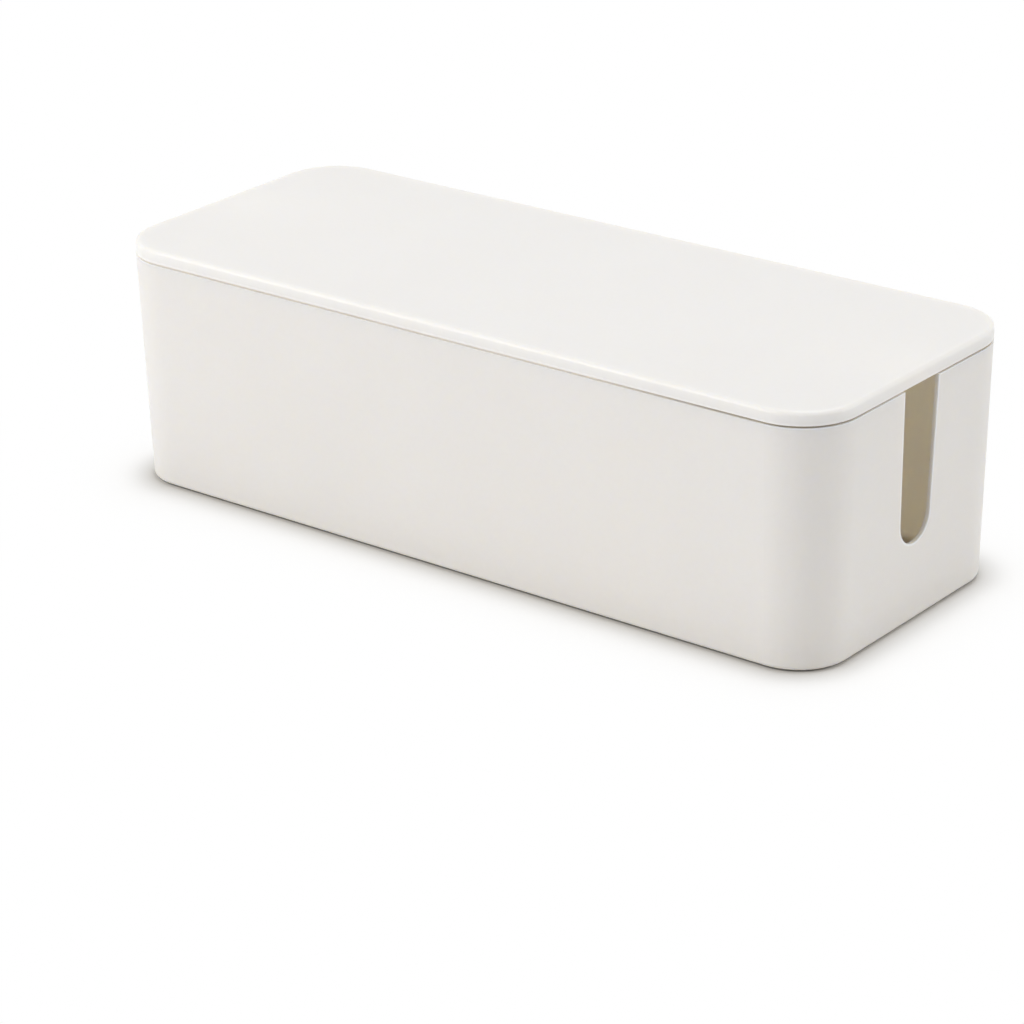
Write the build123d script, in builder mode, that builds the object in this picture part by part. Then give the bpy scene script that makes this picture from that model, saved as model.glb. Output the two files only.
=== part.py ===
from build123d import *

import os
from math import cos, radians, sin, tan

# Cable management box: an open tub with a cable slot in each end, a lid that lifts straight off,
# and four rubber feet. It hides a power strip with its plugs and spare cable.
# Millimetres and degrees. +X runs along the length, +Y across it and +Z up. The origin is on the
# table, under the middle of the box.

# --- driving dimensions ---

# whole box
LENGTH = 400.0  # over the lid and the rim, along X
WIDTH = 157.0  # the same, along Y
HEIGHT = 120.0  # table to the top of the lid
CORNER = 28.0  # plan radius of the lid and the rim

# tub
STAND_OFF = 0.8  # the feet hold the base this far off the table
WALL = 2.0
FLOOR = 2.5
DRAFT = 1.5  # lean of the walls, and of the slots' sides
BASE_ROUND = 1.8  # outside, where the walls meet the base
FLOOR_ROUND = 3.0  # inside, where they meet the floor

# rim, where the lid sits on the inner part of the wall and leaves a shadow gap outside it
LID_BAND = 6.3  # height of the lid's outer band
GAP_HEIGHT = 0.9
GAP_DEPTH = 1.2
EDGE_ROUND = 0.35  # outer edges of the rim and the slots
INNER_BEVEL = 0.25  # the same edges inside
LID_BEVEL = 0.2  # lower edge of the lid's band

# cable slots, open at the rim and round at the bottom
SLOT_RADIUS = 11.8
SLOT_BOTTOM = 38.5  # table to the lowest point
MOUTH_ROUND = 2.0  # where the slot's sides meet the rim

# lid
LID_PLATE = 2.0
LID_SKIRT = 1.8
LID_ROUND = 1.9  # top outer edge
LID_COVE = 1.2  # bevel between the skirt and the plate

# locating rib under the lid, which drops inside the tub's wall and stops short of the slots
RIB = 1.4
RIB_CLEARANCE = 0.4
RIB_DROP = 4.5  # how far it reaches below the lid's seat
RIB_BREAK = 34.0  # width left open at each slot
RIB_LEAD_IN = 0.4  # bevel around its lower edge

# feet
FOOT_RADIUS = 6.0
FOOT_RECESS = 0.8
FOOT_BEVEL = 0.4
FOOT_CLEARANCE = 0.2

# --- worked out from them ---

SEAT_Z = HEIGHT - LID_BAND
SHOULDER_Z = SEAT_Z - GAP_HEIGHT
BASE_Z = STAND_OFF
FLOOR_Z = BASE_Z + FLOOR
RIB_INSET = WALL + RIB_CLEARANCE
FOOT_X = LENGTH / 2 - CORNER
FOOT_Y = WIDTH / 2 - CORNER
FOOT_HEIGHT = STAND_OFF + FOOT_RECESS

# the slot's sides lean out by the draft and run tangent into the round bottom
LEAN = radians(DRAFT)
SIDE_Y = SLOT_RADIUS * cos(LEAN)
SIDE_Z = SLOT_BOTTOM + SLOT_RADIUS - SLOT_RADIUS * sin(LEAN)
MOUTH_Y = SIDE_Y + (HEIGHT - SIDE_Z) * tan(LEAN)


def outline(inset: float = 0.0):
    """The lid's plan outline, moved in evenly by a distance."""
    return RectangleRounded(LENGTH - 2 * inset, WIDTH - 2 * inset, CORNER - inset)


def end_plane(side: int, distance: float):
    """The plane that faces out of one end, with its own Y up, at a distance from the middle."""
    return Plane(origin=(side * distance, 0, 0), x_dir=(0, side, 0), z_dir=(side, 0, 0))


# --- tub ---

with BuildPart() as tub:
    # leaning outer walls on a rounded base
    with BuildSketch(Plane.XY.offset(SEAT_Z)):
        outline()
    extrude(amount=BASE_Z - SEAT_Z, taper=DRAFT)
    fillet(tub.faces().sort_by(Axis.Z)[0].edges(), BASE_ROUND)

    # hollow, with walls of even thickness
    with BuildSketch(Plane.XY.offset(SEAT_Z)):
        outline(WALL)
    extrude(amount=FLOOR_Z - SEAT_Z, taper=DRAFT, mode=Mode.SUBTRACT)
    floor_face = tub.faces().filter_by(Axis.Z).sort_by(Axis.Z)[1]
    fillet(floor_face.edges(), FLOOR_ROUND)

    # step around the rim: the outer part of the wall stops lower
    with BuildSketch(Plane.XY.offset(SHOULDER_Z)):
        outline(-GAP_DEPTH)
        offset(amount=-2 * GAP_DEPTH, mode=Mode.SUBTRACT)
    extrude(amount=GAP_HEIGHT, mode=Mode.SUBTRACT)

    # cable slots in both ends, whose mouths are rounded at both levels of the rim
    for rim_z, start_x in ((SEAT_Z, 0), (SHOULDER_Z, LENGTH / 2 - GAP_DEPTH)):
        with BuildSketch(end_plane(1, start_x), end_plane(-1, start_x)) as slot:
            with BuildLine():
                ThreePointArc((-SIDE_Y, SIDE_Z), (0, SLOT_BOTTOM), (SIDE_Y, SIDE_Z))
                Polyline((SIDE_Y, SIDE_Z), (MOUTH_Y, HEIGHT), (-MOUTH_Y, HEIGHT), (-SIDE_Y, SIDE_Z))
            make_face()
            with Locations((0, rim_z)):
                Rectangle(WIDTH / 2, HEIGHT - rim_z, align=(Align.CENTER, Align.MIN))
            corners = slot.vertices().filter_by_position(Axis.Y, rim_z, rim_z)
            fillet(corners.sort_by(Axis.X)[1:3], MOUTH_ROUND)
        extrude(amount=LENGTH, mode=Mode.SUBTRACT)

    # one smooth edge runs along the rim, down each slot, round its bottom and up again
    rim_edges = tub.edges().filter_by(Axis.X).filter_by_position(Axis.Z, SHOULDER_Z, SHOULDER_Z)
    fillet(rim_edges.sort_by(Axis.Y)[0], EDGE_ROUND)

    # and a bevel follows the same way round on the inside, where the lid's rib drops in
    seat_edges = tub.edges().filter_by(Axis.X).filter_by_position(Axis.Z, SEAT_Z, SEAT_Z)
    chamfer(seat_edges.sort_by(Axis.Y)[1], INNER_BEVEL)

    # recesses for the feet
    with BuildSketch(Plane.XY.offset(BASE_Z)):
        with GridLocations(2 * FOOT_X, 2 * FOOT_Y, 2, 2):
            Circle(FOOT_RADIUS + FOOT_CLEARANCE)
    extrude(amount=FOOT_RECESS, mode=Mode.SUBTRACT)

tub.part.label = "tub"

# --- lid ---

with BuildPart() as lid:
    with BuildSketch(Plane.XY.offset(SEAT_Z)):
        outline()
    extrude(amount=LID_BAND)
    fillet(lid.faces().sort_by(Axis.Z)[-1].edges(), LID_ROUND)
    chamfer(lid.faces().sort_by(Axis.Z)[0].edges(), LID_BEVEL)

    # pocket inside the skirt
    with BuildSketch(Plane.XY.offset(SEAT_Z)):
        outline(LID_SKIRT)
    extrude(amount=LID_BAND - LID_PLATE, mode=Mode.SUBTRACT)
    pocket_face = lid.faces().filter_by(Axis.Z).sort_by(Axis.Z)[-2]
    chamfer(pocket_face.edges(), LID_COVE)

    # locating rib
    with BuildSketch(Plane.XY.offset(SEAT_Z - RIB_DROP)):
        outline(RIB_INSET)
        offset(amount=-RIB, mode=Mode.SUBTRACT)
        Rectangle(LENGTH, RIB_BREAK, mode=Mode.SUBTRACT)
    extrude(amount=RIB_DROP + LID_BAND - LID_PLATE)
    chamfer(lid.faces().sort_by(Axis.Z)[:2].edges(), RIB_LEAD_IN)

lid.part.label = "lid"

# --- feet ---

feet = []
for side_x, name_x in ((-1, "left"), (1, "right")):
    for side_y, name_y in ((-1, "front"), (1, "back")):
        foot_plane = Plane.XY.move(Location((side_x * FOOT_X, side_y * FOOT_Y, 0)))
        with BuildPart(foot_plane) as foot:
            Cylinder(FOOT_RADIUS, FOOT_HEIGHT, align=(Align.CENTER, Align.CENTER, Align.MIN))
            chamfer(foot.edges().sort_by(Axis.Z)[0], FOOT_BEVEL)
        foot.part.label = f"foot_{name_x}_{name_y}"
        feet.append(foot.part)

# --- files ---

os.makedirs("parts", exist_ok=True)
for piece in (tub.part, lid.part, *feet):
    export_step(piece, f"parts/{piece.label}.step")
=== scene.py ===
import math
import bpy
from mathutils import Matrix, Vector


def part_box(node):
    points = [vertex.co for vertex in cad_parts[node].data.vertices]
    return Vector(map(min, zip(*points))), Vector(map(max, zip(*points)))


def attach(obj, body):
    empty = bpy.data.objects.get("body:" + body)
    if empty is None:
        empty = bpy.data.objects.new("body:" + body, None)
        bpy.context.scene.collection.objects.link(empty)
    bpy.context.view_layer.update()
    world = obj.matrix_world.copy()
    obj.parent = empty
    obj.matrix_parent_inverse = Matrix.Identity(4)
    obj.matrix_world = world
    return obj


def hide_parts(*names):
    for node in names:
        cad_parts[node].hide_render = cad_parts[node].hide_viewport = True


bl_info = {
    "name": "Cable management box",
    "version": (1, 0, 0),
    "blender": (4, 5, 0),
    "location": "View3D > Sidebar > Cable box",
    "description": "Finishes a cable management box, makes its rubber feet and sets a studio",
    "category": "Object",
}

import bpy
from bpy.props import FloatProperty, FloatVectorProperty, IntProperty, PointerProperty
from bpy.types import Operator, Panel, PropertyGroup
from mathutils import Matrix, Vector

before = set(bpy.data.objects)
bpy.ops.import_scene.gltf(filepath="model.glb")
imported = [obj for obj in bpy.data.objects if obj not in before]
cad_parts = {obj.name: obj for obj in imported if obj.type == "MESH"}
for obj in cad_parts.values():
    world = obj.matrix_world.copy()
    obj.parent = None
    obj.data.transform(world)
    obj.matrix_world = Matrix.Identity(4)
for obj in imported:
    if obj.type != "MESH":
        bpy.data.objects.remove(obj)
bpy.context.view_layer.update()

# Metres and radians. +X runs along the length, +Y across it and +Z up. The origin is on the
# floor, under the middle of the box.

MM = 0.001
FEET = ("foot_left_front", "foot_left_back", "foot_right_front", "foot_right_back")

# --- sizes read from the frame ---

LID_LOW, LID_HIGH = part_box("lid")
TUB_LOW, TUB_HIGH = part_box("tub")
FOOT_LOW, FOOT_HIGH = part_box("foot_right_back")
HALF_LENGTH = LID_HIGH.x
HALF_WIDTH = LID_HIGH.y
TOP = LID_HIGH.z
SEAT = TUB_HIGH.z  # where the lid sits on the rim
FOOT_X = (FOOT_LOW.x + FOOT_HIGH.x) / 2
FOOT_Y = (FOOT_LOW.y + FOOT_HIGH.y) / 2

# --- sizes that the frame doesn't give ---

CORNER = 28 * MM  # plan radius of the lid and the rim
DRAFT = math.radians(1.5)  # lean of the tub's walls
WALL = 2.0 * MM
SHOULDER = SEAT - 0.9 * MM  # top of the wall's outer part, under the shadow gap
BASE_INSET = (SEAT - TUB_LOW.z) * math.tan(DRAFT)  # how far the base is inside the lid's outline
SLOT_RADIUS = 11.8 * MM
SLOT_CENTRE = 50.3 * MM  # height of the middle of the slot's round bottom
PIN_SPACING = 60 * MM  # ejector pins, on a square grid
PIN_RADIUS = 3 * MM
PIN_RING = 0.25 * MM  # half the width of the ring that a pin leaves

# --- where each finish starts and ends, as the two ends of a ramp ---

# heights
ABOVE_BASE = (TUB_LOW.z + 0.8 * MM, TUB_LOW.z + 1.6 * MM)
RIM_EDGE = (SHOULDER - 0.7 * MM, SHOULDER - 0.4 * MM)
GAP_FLOOR = (SHOULDER - 0.10 * MM, SHOULDER - 0.02 * MM)
GAP_CEILING = (SEAT + 0.10 * MM, SEAT + 0.02 * MM)
BAND_EDGE = (SEAT + 1.4 * MM, SEAT + 0.7 * MM)
BELOW_PLATE = (TOP - 1.2 * MM, TOP - 1.8 * MM)

# depths into the tub's wall
OUTER_SKIN = (0.7 * MM, 0.5 * MM)
INNER_SKIN = (WALL * 0.5, WALL * 0.8)
DEEP_IN_GAP = (0.7 * MM, 1.0 * MM)

# depths inside the lid's outline
SKIRT_INSIDE = (0.9 * MM, 1.3 * MM)
BAND_UNDERSIDE = (0.2 * MM, 0.5 * MM)
HELD_BY_HANDS = (4 * MM, 1 * MM)

# distances out from the slot, and along the box from its middle
SLOT_EDGE = (1.1 * MM, 0.8 * MM)
RUBBED_BY_CABLES = (4 * MM, 0)
END_WALL = (HALF_LENGTH - 8 * MM, HALF_LENGTH - 6 * MM)
CORNERS_AND_END = (HALF_LENGTH - 1.4 * CORNER, HALF_LENGTH - 0.6 * CORNER)
TO_RIGHT_END = (0.3 * HALF_LENGTH, HALF_LENGTH)

# --- shares and amounts in the plastic ---

PLASTIC_IOR = 1.47
CLOUD_SHARE = 0.6  # of the change in tone; the specks make the rest
SPECK_SIZE = 6  # in grains
CLOUD_VALUES = (0.3, 0.7)  # the noise between which the patches come in
SPECK_VALUES = (0.35, 0.75)
CLOUD_ROUGHNESS = 0.05
GRAIN_ROUGHNESS = 0.08
POLISH_GLOSS = 0.04  # how much smoother polished and hidden faces are
HIDDEN_GLOSS = 0.05
POLISH_FLATTENS = 0.6  # the share of the grain that polish, or a smooth mould, takes away
HIDDEN_FLATTENS = 0.8
BAND_HIGHLIGHT = 0.6  # painted highlight on the lid's lower edge, as a share of the tub's
GAP_SHADE_EVERYWHERE = 0.1  # shares of the painted shade in the shadow gap
GAP_SHADE_AT_RIGHT = 0.3
GAP_SHADE_AT_CORNERS = 0.6

# --- colours ---

WHITE = (1.0, 1.0, 1.0, 1.0)
BLACK = (0.0, 0.0, 0.0, 1.0)
DEEPER_LOSSES = (0.8, 1.0, 1.3)  # how much red, green and blue lose, against each other


# --- node trees written as expressions ---


class Wire:
    """One output in a node tree. Python's operators on wires add Math nodes."""

    def __init__(self, tree, socket):
        self.tree = tree
        self.socket = socket

    def pin(self, name):
        """Another output of the same node."""
        return Wire(self.tree, self.socket.node.outputs[name])

    def math(self, operation, *values):
        """A Math node whose first value is this wire."""
        sockets = dict(enumerate((self, *values)))
        return add_node(self.tree, "ShaderNodeMath", {"operation": operation}, sockets)

    def __add__(self, other):
        return self.math("ADD", other)

    def __sub__(self, other):
        return self.math("SUBTRACT", other)

    def __mul__(self, other):
        return self.math("MULTIPLY", other)

    def __truediv__(self, other):
        return self.math("DIVIDE", other)

    def __pow__(self, other):
        return self.math("POWER", other)

    def __radd__(self, other):
        return self.math("ADD", other)

    def __rmul__(self, other):
        return self.math("MULTIPLY", other)

    def __rsub__(self, other):
        return self.math("MULTIPLY_ADD", -1.0, other)

    def __abs__(self):
        return self.math("ABSOLUTE")

    def ramp(self, start, end):
        """0 up to start, 1 from end on and a smooth rise between. start may be above end."""
        settings = {"interpolation_type": "SMOOTHSTEP"}
        sockets = {"Value": self, "From Min": start, "From Max": end}
        return add_node(self.tree, "ShaderNodeMapRange", settings, sockets)


def add_node(tree, kind, settings=None, sockets=None, out=0):
    """Add a node, set its settings and then its sockets, and return one of its outputs."""
    node = tree.nodes.new(kind)
    for name, value in (settings or {}).items():
        setattr(node, name, value)
    for name, value in (sockets or {}).items():
        if isinstance(value, Wire):
            tree.links.new(value.socket, node.inputs[name])
        else:
            node.inputs[name].default_value = value
    return Wire(tree, node.outputs[out] if node.outputs else None)


def new_material(name):
    """An empty material and its node tree."""
    material = bpy.data.materials.new(name)
    material.use_nodes = True
    material.node_tree.nodes.clear()
    return material, material.node_tree


def end_material(tree, shader):
    """Connect a shader to a new output."""
    add_node(tree, "ShaderNodeOutputMaterial", sockets={"Surface": shader})


def rgba(colour):
    """A colour with full opacity, as a socket takes it."""
    return (*colour, 1.0)


# --- shader parts shared by the plastics ---


def deeper(colour, by):
    """A slightly darker and warmer colour."""
    return tuple(value * (1 - by * loss) for value, loss in zip(colour, DEEPER_LOSSES))


def own_place(tree):
    """The point on the piece, in metres, as a vector and as its x, y and z."""
    place = add_node(tree, "ShaderNodeTexCoord", out="Object")
    x = add_node(tree, "ShaderNodeSeparateXYZ", sockets={"Vector": place})
    return place, x, x.pin("Y"), x.pin("Z")


def noise(tree, place, size, detail=2.0):
    """Soft noise from 0 to 1 whose features are about this size."""
    sockets = {"Vector": place, "Scale": 1 / size, "Detail": detail}
    return add_node(tree, "ShaderNodeTexNoise", sockets=sockets)


def depth_inside_outline(x, y):
    """How far a point is inside the lid's outline, seen from above."""
    past_x = abs(x) - (HALF_LENGTH - CORNER)
    past_y = abs(y) - (HALF_WIDTH - CORNER)
    round_part = (past_x.math("MAXIMUM", 0) ** 2 + past_y.math("MAXIMUM", 0) ** 2) ** 0.5
    straight_part = past_x.math("MAXIMUM", past_y).math("MINIMUM", 0)
    return CORNER - round_part - straight_part


def distance_from_slot(y, z):
    """How far a point is outside the slot, whose sides lean out above its round bottom."""
    above = z - SLOT_CENTRE
    from_middle = (y ** 2 + above.math("MINIMUM", 0) ** 2) ** 0.5
    return from_middle - above.math("MAXIMUM", 0) * math.tan(DRAFT) - SLOT_RADIUS


def painted_shade(x, y):
    """How much painted shade darkens the shadow gap: most at the right-hand corners, least to the
    left.
    """
    to_right = x.ramp(*TO_RIGHT_END)
    at_corners = to_right * abs(y).ramp(0, HALF_WIDTH)
    return GAP_SHADE_EVERYWHERE + to_right * GAP_SHADE_AT_RIGHT + at_corners * GAP_SHADE_AT_CORNERS


def pin_marks(x, y):
    """The thin rings that ejector pins leave on the hidden side of a moulding."""
    from_pin_x = x.math("PINGPONG", PIN_SPACING / 2)
    from_pin_y = y.math("PINGPONG", PIN_SPACING / 2)
    from_pin = (from_pin_x ** 2 + from_pin_y ** 2) ** 0.5
    return abs(from_pin - PIN_RADIUS).ramp(PIN_RING, 0)


def blend(tree, factor, first, second):
    """A colour that runs from the first to the second as the factor goes from 0 to 1."""
    sockets = {"Factor": factor, "A": first, "B": second}
    return add_node(tree, "ShaderNodeMix", {"data_type": "RGBA"}, sockets, out="Result")


def plastic(tree, place, colour, translucency, finish, hidden, polished, edge_highlight, gap_shaded, marks):
    """Moulded plastic: fine grain where it is seen, smoother where hidden or polished by hands.

    The masks say where it is hidden (paler there: painted light), polished, paler along an edge
    (a painted highlight), darker in the shadow gap (painted shade), or marked by ejector pins.
    """
    cloud = noise(tree, place, finish.cloud_size)
    grain = noise(tree, place, finish.grain_size, detail=3.0)
    speck = noise(tree, place, finish.grain_size * SPECK_SIZE, detail=4.0)

    clouds, specks = cloud.ramp(*CLOUD_VALUES), speck.ramp(*SPECK_VALUES)
    deeper_by = clouds * CLOUD_SHARE + specks * (1 - CLOUD_SHARE)
    deep_outer = deeper(colour, finish.deepening)
    deep_inner = deeper(finish.inner_lightened_colour, finish.deepening)
    # Hidden faces take a paler colour than the outside: painted light for the shaded inside.
    plain = blend(tree, hidden, rgba(colour), rgba(finish.inner_lightened_colour))
    deep = blend(tree, hidden, rgba(deep_outer), rgba(deep_inner))
    # Outer edges are blended toward a paler colour: a painted highlight.
    clean = blend(tree, edge_highlight, blend(tree, deeper_by, plain, deep), rgba(finish.edge_highlight_colour))

    uneven = cloud * CLOUD_ROUGHNESS + (grain - 0.5) * GRAIN_ROUGHNESS
    smoothed = polished * POLISH_GLOSS + hidden * HIDDEN_GLOSS
    grained = (1 - hidden * HIDDEN_FLATTENS) * (1 - polished * POLISH_FLATTENS)
    height = grain * grained * finish.grain_depth - marks * finish.mark_depth
    bump = add_node(tree, "ShaderNodeBump", sockets={
        "Height": height, "Strength": 1.0, "Distance": 1.0})
    shader = add_node(tree, "ShaderNodeBsdfPrincipled", sockets={
        # The shadow gap's dark colour is painted shade.
        "Base Color": blend(tree, gap_shaded, clean, rgba(finish.gap_shade_colour)),
        "Roughness": finish.roughness + uneven - smoothed,
        "IOR": PLASTIC_IOR,
        "Subsurface Weight": translucency,
        "Subsurface Radius": finish.light_spread,
        "Subsurface Scale": finish.light_reach,
        "Normal": bump,
    })
    end_material(tree, shader)


# --- settings ---


class PlasticFinish(PropertyGroup):
    """The plastic of the tub and the lid"""

    # The tub and the lid are one plastic; the tub is set warmer than the lid as painted light for
    # the warmer light on the tub's sides.
    tub_colour: FloatVectorProperty(
        name="Tub", description="Colour of the tub's plastic", subtype="COLOR",
        min=0, max=1, default=(0.94, 0.888, 0.808))
    lid_colour: FloatVectorProperty(
        name="Lid", description="Colour of the lid's plastic", subtype="COLOR",
        min=0, max=1, default=(0.915, 0.887, 0.845))
    # Painted light: the hidden faces are set paler than the outside so that the shaded inside
    # reads brighter.
    inner_lightened_colour: FloatVectorProperty(
        name="Inside", description="Colour of both pieces' hidden faces", subtype="COLOR",
        min=0, max=1, default=(0.976, 0.948, 0.893))
    # Painted shade: this dark colour stands in for the shade deep in the shadow gap.
    gap_shade_colour: FloatVectorProperty(
        name="Gap", description="Colour deep in the shadow gap, where dust settles",
        subtype="COLOR", min=0, max=1, default=(0.48, 0.41, 0.32))
    # Painted highlight: this paler colour along outer edges stands in for the light that rounded
    # edges catch.
    edge_highlight_colour: FloatVectorProperty(
        name="Worn edge", description="Colour of the outer edges that cables and hands rub pale",
        subtype="COLOR", min=0, max=1, default=(0.995, 0.975, 0.94))
    deepening: FloatProperty(
        name="Deepening", description="How much darker the cloudy patches are",
        subtype="FACTOR", min=0, max=0.1, default=0.02)
    roughness: FloatProperty(
        name="Roughness", description="Roughness of the moulded surface",
        subtype="FACTOR", min=0, max=1, default=0.36)
    cloud_size: FloatProperty(
        name="Cloud size", description="Width of the soft patches in the colour",
        unit="LENGTH", min=5 * MM, default=70 * MM)
    grain_size: FloatProperty(
        name="Grain size", description="Width of one grain of the moulded texture",
        unit="LENGTH", min=0.1 * MM, default=0.4 * MM)
    grain_depth: FloatProperty(
        name="Grain depth", description="Depth of the moulded texture",
        unit="LENGTH", min=0, default=0.012 * MM)
    mark_depth: FloatProperty(
        name="Pin mark depth", description="Depth of the rings that ejector pins leave",
        unit="LENGTH", min=0, default=0.06 * MM)
    tub_translucency: FloatProperty(
        name="Tub translucency", description="Share of the light that goes into the tub's plastic",
        subtype="FACTOR", min=0, max=1, default=0.45)
    lid_translucency: FloatProperty(
        name="Lid translucency", description="Share of the light that goes into the lid's plastic",
        subtype="FACTOR", min=0, max=1, default=0.30)
    light_reach: FloatProperty(
        name="Light reach", description="How far red light travels inside the plastic",
        unit="LENGTH", min=0, default=22 * MM)
    light_spread: FloatVectorProperty(
        name="Light spread",
        description="How far red, green and blue travel, as shares of the reach",
        subtype="COLOR", min=0, max=1, default=(1.0, 0.75, 0.42))


class FootFinish(PropertyGroup):
    """The rubber of the feet, and the shape of their undersides"""

    colour: FloatVectorProperty(
        name="Rubber", description="Colour of the feet", subtype="COLOR",
        min=0, max=1, default=(0.27, 0.26, 0.245))
    edge_round: FloatProperty(
        name="Edge round", description="Radius of the foot's lower edge",
        unit="LENGTH", min=0, default=0.4 * MM)
    grip_rings: IntProperty(
        name="Grip rings", description="Ridges under each foot", min=1, max=8, default=4)
    ring_depth: FloatProperty(
        name="Ring depth", description="Depth of the grooves between the ridges",
        unit="LENGTH", min=0, default=0.2 * MM)


class StudioLook(PropertyGroup):
    """The floor and the lights"""

    floor_colour: FloatVectorProperty(
        name="Floor", description="Colour of the floor", subtype="COLOR",
        min=0, max=1, default=(0.9, 0.9, 0.9))
    near_shade: FloatProperty(
        name="Near shade", description="How much darker the floor is close to the box",
        subtype="FACTOR", min=0, max=1, default=0.27)
    contact_shade: FloatProperty(
        name="Contact shade", description="How much darker the floor is where the box meets it",
        subtype="FACTOR", min=0, max=1, default=0.5)
    shadow_reach: FloatProperty(
        name="Shadow reach", description="How far from the box the floor's shading fades to white",
        unit="LENGTH", min=1 * MM, default=9.5 * MM)
    surround_colour: FloatVectorProperty(
        name="Surround", description="Colour of the light from all round", subtype="COLOR",
        min=0, max=1, default=(1.0, 0.965, 0.91))
    surround: FloatProperty(
        name="Surround strength", description="Strength of the light from all round",
        min=0, default=0.48)
    left_power: FloatProperty(
        name="Left softbox", description="Power of the softbox in front, to the left",
        subtype="POWER", unit="POWER", min=0, default=31.8)
    right_power: FloatProperty(
        name="Right softbox", description="Power of the softbox to the right",
        subtype="POWER", unit="POWER", min=0, default=42.0)
    top_power: FloatProperty(
        name="Overhead softbox", description="Power of the softbox overhead",
        subtype="POWER", unit="POWER", min=0, default=59.5)


class CableBoxSettings(PropertyGroup):
    """All settings of the box and its stage"""

    plastic: PointerProperty(type=PlasticFinish)
    feet: PointerProperty(type=FootFinish)
    studio: PointerProperty(type=StudioLook)


# --- tub and lid ---


class CABLEBOX_OT_finish_tub(Operator):
    """Give the tub its moulded plastic"""

    bl_idname = "cablebox.finish_tub"
    bl_label = "Finish the tub"

    def execute(self, context):
        finish = context.scene.cable_box.plastic
        material, tree = new_material("tub_plastic")
        place, x, y, z = own_place(tree)
        into_wall = depth_inside_outline(x, y) - (SEAT - z) * math.tan(DRAFT)
        from_slot = distance_from_slot(y, z)
        in_end_wall = abs(x).ramp(*END_WALL)
        hidden = into_wall.ramp(*INNER_SKIN) * z.ramp(*ABOVE_BASE)
        slot_edge = from_slot.ramp(*SLOT_EDGE) * in_end_wall
        rim_edge = z.ramp(*RIM_EDGE) * abs(x).ramp(*CORNERS_AND_END)
        gap_floor = z.ramp(*GAP_FLOOR) * into_wall.ramp(*DEEP_IN_GAP)
        plastic(
            tree, place, finish.tub_colour, finish.tub_translucency, finish,
            hidden=hidden,
            polished=from_slot.ramp(*RUBBED_BY_CABLES) * in_end_wall,
            # painted highlight along the slot's edge and along the rim's edge at the corners and
            # the ends
            edge_highlight=slot_edge.math("MAXIMUM", rim_edge) * into_wall.ramp(*OUTER_SKIN),
            # painted shade on the rim's shoulder, deep in the shadow gap
            gap_shaded=gap_floor * painted_shade(x, y),
            marks=pin_marks(x, y) * hidden,
        )
        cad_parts["tub"].material_slots[0].material = material
        return {"FINISHED"}


class CABLEBOX_OT_finish_lid(Operator):
    """Give the lid its moulded plastic, polished a little along the edge that hands hold"""

    bl_idname = "cablebox.finish_lid"
    bl_label = "Finish the lid"

    def execute(self, context):
        finish = context.scene.cable_box.plastic
        material, tree = new_material("lid_plastic")
        place, x, y, z = own_place(tree)
        inwards = depth_inside_outline(x, y)
        hidden = inwards.ramp(*SKIRT_INSIDE) * z.ramp(*BELOW_PLATE)
        gap_ceiling = z.ramp(*GAP_CEILING) * inwards.ramp(*BAND_UNDERSIDE)
        plastic(
            tree, place, finish.lid_colour, finish.lid_translucency, finish,
            hidden=hidden,
            polished=inwards.ramp(*HELD_BY_HANDS) * (1 - hidden),
            # painted highlight along the band's lower edge
            edge_highlight=z.ramp(*BAND_EDGE) * (1 - hidden) * BAND_HIGHLIGHT,
            # painted shade on the band's underside, in the shadow gap
            gap_shaded=gap_ceiling * painted_shade(x, y),
            marks=pin_marks(x, y) * hidden,
        )
        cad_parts["lid"].material_slots[0].material = material
        return {"FINISHED"}


# --- feet ---

FOOT_SIDES = 64  # faces round each foot
PROFILE_POINTS = 61
# the shares of the profile that the underside, the lower edge, the side and the top take
FOOT_PROFILE = ((0, 0.7), (0.7, 0.8), (0.8, 0.85), (0.85, 1))
SAME_POINT = 0.001 * MM  # points closer than this are joined
SPECKLE_SIZE = 0.3 * MM
SPECKLE_DEPTH = 0.02 * MM
SPECKLE_VALUES = (0.35, 0.7)
SPECKLE_DEEPENING = 0.15
BLOOM_SIZE = 3 * MM  # pale patches that age brings out on rubber
RUBBER_ROUGHNESS = 0.68
BLOOM_ROUGHNESS = 0.15


def foot_rubber(finish):
    """Matt grey rubber with a fine speckle."""
    material, tree = new_material("foot_rubber")
    place, *_ = own_place(tree)
    speckle = noise(tree, place, SPECKLE_SIZE, detail=4.0)
    bloom = noise(tree, place, BLOOM_SIZE)
    dark = deeper(finish.colour, SPECKLE_DEEPENING)
    tone = blend(tree, speckle.ramp(*SPECKLE_VALUES), rgba(finish.colour), rgba(dark))
    bump = add_node(tree, "ShaderNodeBump", sockets={
        "Height": speckle * SPECKLE_DEPTH, "Strength": 1.0, "Distance": 1.0})
    shader = add_node(tree, "ShaderNodeBsdfPrincipled", sockets={
        "Base Color": tone,
        "Roughness": RUBBER_ROUGHNESS + bloom * BLOOM_ROUGHNESS,
        "Normal": bump,
    })
    end_material(tree, shader)
    return material


def foot_inputs():
    """The named inputs of the feet's tree, as pairs of name and socket type."""
    lengths = ("Radius", "Height", "Edge round", "Ring depth", "Spacing X", "Spacing Y")
    inputs = [(name, "NodeSocketFloat") for name in lengths]
    inputs.append(("Grip rings", "NodeSocketInt"))
    inputs.append(("Rubber", "NodeSocketMaterial"))
    return inputs


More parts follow.
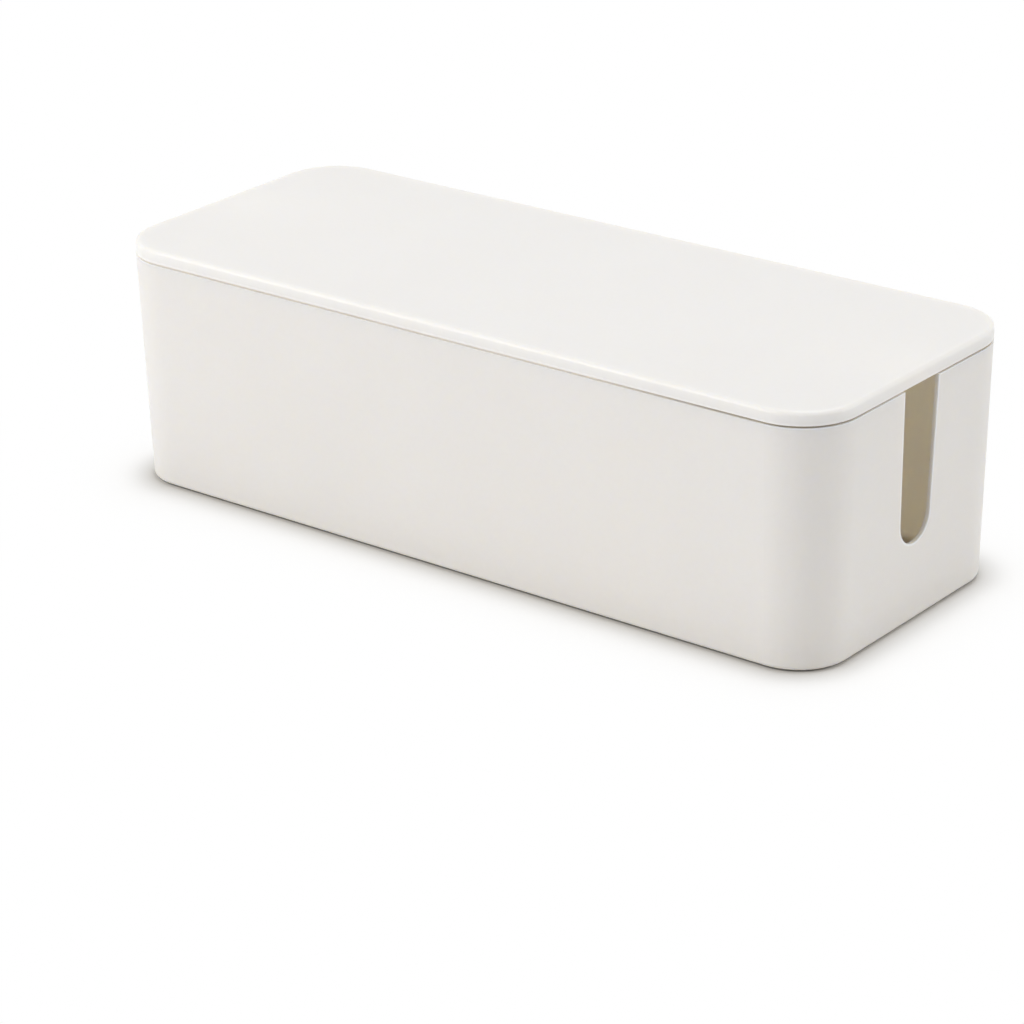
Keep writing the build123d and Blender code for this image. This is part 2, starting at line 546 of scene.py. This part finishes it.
def foot_tree():
    """Geometry Nodes that turn a flat grid into a lathed foot, and put one under each corner.

    Across the grid runs the turn about the foot's axis. Along it runs the foot's profile, from
    the middle of the ridged underside, round the lower edge, up the side and in to the middle of
    the top.
    """
    tree = bpy.data.node_groups.new("rubber_feet", "GeometryNodeTree")
    for name, kind in foot_inputs():
        tree.interface.new_socket(name, in_out="INPUT", socket_type=kind)
    tree.interface.new_socket("Feet", in_out="OUTPUT", socket_type="NodeSocketGeometry")
    given = add_node(tree, "NodeGroupInput")
    radius, height, edge = (given.pin(name) for name in ("Radius", "Height", "Edge round"))
    flat_radius = radius - edge

    grid = add_node(tree, "GeometryNodeMeshGrid", sockets={
        "Size X": 1.0,
        "Size Y": 1.0,
        "Vertices X": FOOT_SIDES + 1,
        "Vertices Y": PROFILE_POINTS,
    })
    position = add_node(tree, "GeometryNodeInputPosition")
    across = add_node(tree, "ShaderNodeSeparateXYZ", sockets={"Vector": position})
    turn = (across + 0.5) * math.tau
    along = across.pin("Y") + 0.5
    underside, lower_edge, side, top = (
        ((along - start) / (end - start)).math("MAXIMUM", 0).math("MINIMUM", 1)
        for start, end in FOOT_PROFILE
    )
    bend = lower_edge * (math.pi / 2)
    ridges = (1 - (underside * given.pin("Grip rings") * math.tau).math("COSINE")) * 0.5
    out_to = underside * flat_radius + edge * bend.math("SINE") - radius * top
    up_to = (
        ridges * given.pin("Ring depth")
        + edge * (1 - bend.math("COSINE"))
        + (height - edge) * side
    )
    turned = add_node(tree, "ShaderNodeCombineXYZ", sockets={
        "X": out_to * turn.math("SINE"),
        "Y": out_to * turn.math("COSINE"),
        "Z": up_to,
    })
    lathed = add_node(tree, "GeometryNodeSetPosition", sockets={
        "Geometry": grid, "Position": turned})
    closed = add_node(tree, "GeometryNodeMergeByDistance", sockets={
        "Geometry": lathed, "Distance": SAME_POINT})
    smooth = add_node(tree, "GeometryNodeSetShadeSmooth", sockets={"Geometry": closed})

    corners = add_node(tree, "GeometryNodeMeshGrid", sockets={
        "Size X": given.pin("Spacing X"),
        "Size Y": given.pin("Spacing Y"),
        "Vertices X": 2,
        "Vertices Y": 2,
    })
    placed = add_node(tree, "GeometryNodeInstanceOnPoints", sockets={
        "Points": corners, "Instance": smooth})
    real = add_node(tree, "GeometryNodeRealizeInstances", sockets={"Geometry": placed})
    coated = add_node(tree, "GeometryNodeSetMaterial", sockets={
        "Geometry": real, "Material": given.pin("Rubber")})
    add_node(tree, "NodeGroupOutput", sockets={"Feet": coated})
    return tree


def grown_mesh(name, tree, values):
    """Run a Geometry Nodes tree with these inputs and return an object with the plain mesh."""
    seed = bpy.data.objects.new(name + "_seed", bpy.data.meshes.new(name + "_seed"))
    bpy.context.scene.collection.objects.link(seed)
    modifier = seed.modifiers.new(name, "NODES")
    modifier.node_group = tree
    for item in tree.interface.items_tree:
        if item.in_out == "INPUT":
            modifier[item.identifier] = values[item.name]
    depsgraph = bpy.context.evaluated_depsgraph_get()
    mesh = bpy.data.meshes.new_from_object(seed.evaluated_get(depsgraph), depsgraph=depsgraph)
    bpy.data.objects.remove(seed)
    piece = bpy.data.objects.new(name, mesh)
    bpy.context.scene.collection.objects.link(piece)
    return piece


class CABLEBOX_OT_make_feet(Operator):
    """Make the four rubber feet with ridged undersides"""

    bl_idname = "cablebox.make_feet"
    bl_label = "Make the feet"

    def execute(self, context):
        finish = context.scene.cable_box.feet
        feet = grown_mesh("rubber_feet", foot_tree(), {
            "Radius": (FOOT_HIGH.x - FOOT_LOW.x) / 2,
            "Height": FOOT_HIGH.z,
            "Edge round": finish.edge_round,
            "Ring depth": finish.ring_depth,
            "Spacing X": 2 * FOOT_X,
            "Spacing Y": 2 * FOOT_Y,
            "Grip rings": finish.grip_rings,
            "Rubber": foot_rubber(finish),
        })
        if not feet.data.polygons:
            raise RuntimeError("the feet's tree made no faces")
        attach(feet, "tub")
        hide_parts(*FEET)
        return {"FINISHED"}


# --- stage ---

FLOOR_REACH = 6.0  # half the floor's width
BOUNCES = 32  # light that comes in by the slots crosses the white inside many times

CAMERA_PLACE = Vector((0.95823, -1.23874, 0.66652))
CAMERA_AZIMUTH = math.radians(38.40)
CAMERA_ELEVATION = math.radians(22.932)
CAMERA_ROLL = math.radians(-0.941)
CAMERA_LENS = 127.81  # millimetres, as is the sensor's width
SENSOR_WIDTH = 36.0

# softboxes: the direction from the box to each, its distance, its width and its colour
WARM_LIGHT = (1.0, 0.985, 0.955)
COOL_LIGHT = (0.947, 0.977, 1.0)
SOFTBOXES = {
    "left": (Vector((-0.46, -0.78, 0.40)), 2.5, 1.5, WARM_LIGHT),
    "right": (Vector((0.85, 0.35, 0.38)), 4.0, 2.4, WARM_LIGHT),
    "top": (Vector((0.0, 0.33, 0.94)), 4.0, 2.4, COOL_LIGHT),
}

# where the floor is darker, as the two ends of a ramp outwards from the base's outline
NEAR_BOX = (20 * MM, 5 * MM)
FROM_UNDER_BOX = (-6 * MM, -3 * MM)
CONTACT_MIDDLE = -2.8 * MM  # the dark line where the box meets the floor
CONTACT_WIDTH = (1.9 * MM, 0.7 * MM)
CONTACT_AT_ENDS = 0.35  # how dark that line is at the ends, as a share of the sides'


def seen_directly(tree):
    """1 for the camera's own rays and for those that gloss or a clear material sends on."""
    path = add_node(tree, "ShaderNodeLightPath", out="Is Camera Ray")
    glossy, clear = path.pin("Is Glossy Ray"), path.pin("Is Transmission Ray")
    return path.math("MAXIMUM", glossy).math("MAXIMUM", clear)


def floor_paper(look):
    """Pale paper, a little darker close to the box, that turns plain white further out."""
    material, tree = new_material("floor_paper")
    _, x, y, _ = own_place(tree)
    from_base = BASE_INSET - depth_inside_outline(x, y)
    near = from_base.ramp(*NEAR_BOX) * from_base.ramp(*FROM_UNDER_BOX) * look.near_shade
    along_side = abs(y).ramp(HALF_WIDTH - CORNER, HALF_WIDTH)
    line = abs(from_base - CONTACT_MIDDLE).ramp(*CONTACT_WIDTH)
    line_shade = CONTACT_AT_ENDS + along_side * (1 - CONTACT_AT_ENDS)
    shade = 1 - (1 - near) * (1 - line * line_shade * look.contact_shade)
    paper = add_node(tree, "ShaderNodeBsdfDiffuse", sockets={
        "Color": blend(tree, shade, rgba(look.floor_colour), BLACK)})
    white = add_node(tree, "ShaderNodeEmission", sockets={"Color": WHITE, "Strength": 1.0})
    faded = from_base.math("MAXIMUM", 0) * (-1 / look.shadow_reach)
    whitened = (1 - faded.math("EXPONENT")) * seen_directly(tree)
    end_material(tree, add_node(tree, "ShaderNodeMixShader", sockets={
        0: whitened, 1: paper, 2: white}))
    return material


def make_floor(look):
    """A wide pale floor that keeps the box's shadow and looks plain white further out."""
    reach = FLOOR_REACH
    mesh = bpy.data.meshes.new("floor")
    corners = [(-reach, -reach, 0), (reach, -reach, 0), (reach, reach, 0), (-reach, reach, 0)]
    mesh.from_pydata(corners, [], [(0, 1, 2, 3)])
    mesh.materials.append(floor_paper(look))
    floor = bpy.data.objects.new("floor", mesh)
    bpy.context.scene.collection.objects.link(floor)


def make_surround(look):
    """An even, slightly warm light from all round, which the camera and gloss see as white."""
    world = bpy.data.worlds.new("surround")
    bpy.context.scene.world = world
    world.use_nodes = True
    tree = world.node_tree
    tree.nodes.clear()
    light = add_node(tree, "ShaderNodeBackground", sockets={
        "Color": rgba(look.surround_colour), "Strength": look.surround})
    white = add_node(tree, "ShaderNodeBackground", sockets={"Color": WHITE, "Strength": 1.0})
    mixed = add_node(tree, "ShaderNodeMixShader", sockets={
        0: seen_directly(tree), 1: light, 2: white})
    add_node(tree, "ShaderNodeOutputWorld", sockets={"Surface": mixed})


def make_softbox(name, power):
    """A square lamp that faces the middle of the box."""
    direction, distance, width, colour = SOFTBOXES[name]
    lamp = bpy.data.lights.new(name + "_softbox", "AREA")
    lamp.shape = "SQUARE"
    lamp.size = width
    lamp.energy = power
    lamp.color = colour
    holder = bpy.data.objects.new(name + "_softbox", lamp)
    middle = Vector((0, 0, TOP / 2))
    holder.location = middle + direction.normalized() * distance
    holder.rotation_euler = direction.to_track_quat("Z", "Y").to_euler()
    holder.visible_camera = False
    bpy.context.scene.collection.objects.link(holder)


def make_camera():
    """A long lens that looks down at the front and the right end."""
    level = math.cos(CAMERA_ELEVATION)
    back = Vector((
        math.sin(CAMERA_AZIMUTH) * level,
        -math.cos(CAMERA_AZIMUTH) * level,
        math.sin(CAMERA_ELEVATION),
    ))
    turned = back.to_track_quat("Z", "Y").to_matrix() @ Matrix.Rotation(CAMERA_ROLL, 3, "Z")
    lens = bpy.data.cameras.new("camera")
    lens.sensor_width = SENSOR_WIDTH
    lens.lens = CAMERA_LENS
    camera = bpy.data.objects.new("camera", lens)
    camera.matrix_world = Matrix.LocRotScale(CAMERA_PLACE, turned, None)
    bpy.context.scene.collection.objects.link(camera)
    bpy.context.scene.camera = camera


class CABLEBOX_OT_set_stage(Operator):
    """Set the floor, the lights and the camera"""

    bl_idname = "cablebox.set_stage"
    bl_label = "Set the stage"

    def execute(self, context):
        look = context.scene.cable_box.studio
        make_floor(look)
        make_surround(look)
        make_softbox("left", look.left_power)
        make_softbox("right", look.right_power)
        make_softbox("top", look.top_power)
        make_camera()
        context.scene.view_settings.view_transform = "Standard"
        context.scene.cycles.max_bounces = BOUNCES
        context.scene.cycles.diffuse_bounces = BOUNCES
        return {"FINISHED"}


# --- sidebar ---


class CABLEBOX_PT_sidebar(Panel):
    """The box's settings and the steps that build it"""

    bl_idname = "CABLEBOX_PT_sidebar"
    bl_label = "Cable box"
    bl_space_type = "VIEW_3D"
    bl_region_type = "UI"
    bl_category = "Cable box"

    def draw(self, context):
        settings = context.scene.cable_box
        groups = (
            (settings.plastic, (CABLEBOX_OT_finish_tub, CABLEBOX_OT_finish_lid)),
            (settings.feet, (CABLEBOX_OT_make_feet,)),
            (settings.studio, (CABLEBOX_OT_set_stage,)),
        )
        for group, steps in groups:
            box = self.layout.box()
            for name in group.bl_rna.properties.keys():
                if name not in ("name", "rna_type"):
                    box.prop(group, name)
            for step in steps:
                box.operator(step.bl_idname)


CLASSES = (
    PlasticFinish,
    FootFinish,
    StudioLook,
    CableBoxSettings,
    CABLEBOX_OT_finish_tub,
    CABLEBOX_OT_finish_lid,
    CABLEBOX_OT_make_feet,
    CABLEBOX_OT_set_stage,
    CABLEBOX_PT_sidebar,
)


def register():
    """Add the classes and the scene's settings."""
    for cls in CLASSES:
        bpy.utils.register_class(cls)
    bpy.types.Scene.cable_box = PointerProperty(type=CableBoxSettings)


def unregister():
    """Take the settings and the classes away again."""
    del bpy.types.Scene.cable_box
    for cls in reversed(CLASSES):
        bpy.utils.unregister_class(cls)


def main():
    """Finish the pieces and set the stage."""
    register()
    bpy.ops.cablebox.finish_tub()
    bpy.ops.cablebox.finish_lid()
    bpy.ops.cablebox.make_feet()
    bpy.ops.cablebox.set_stage()


if __name__ == "__main__":
    main()
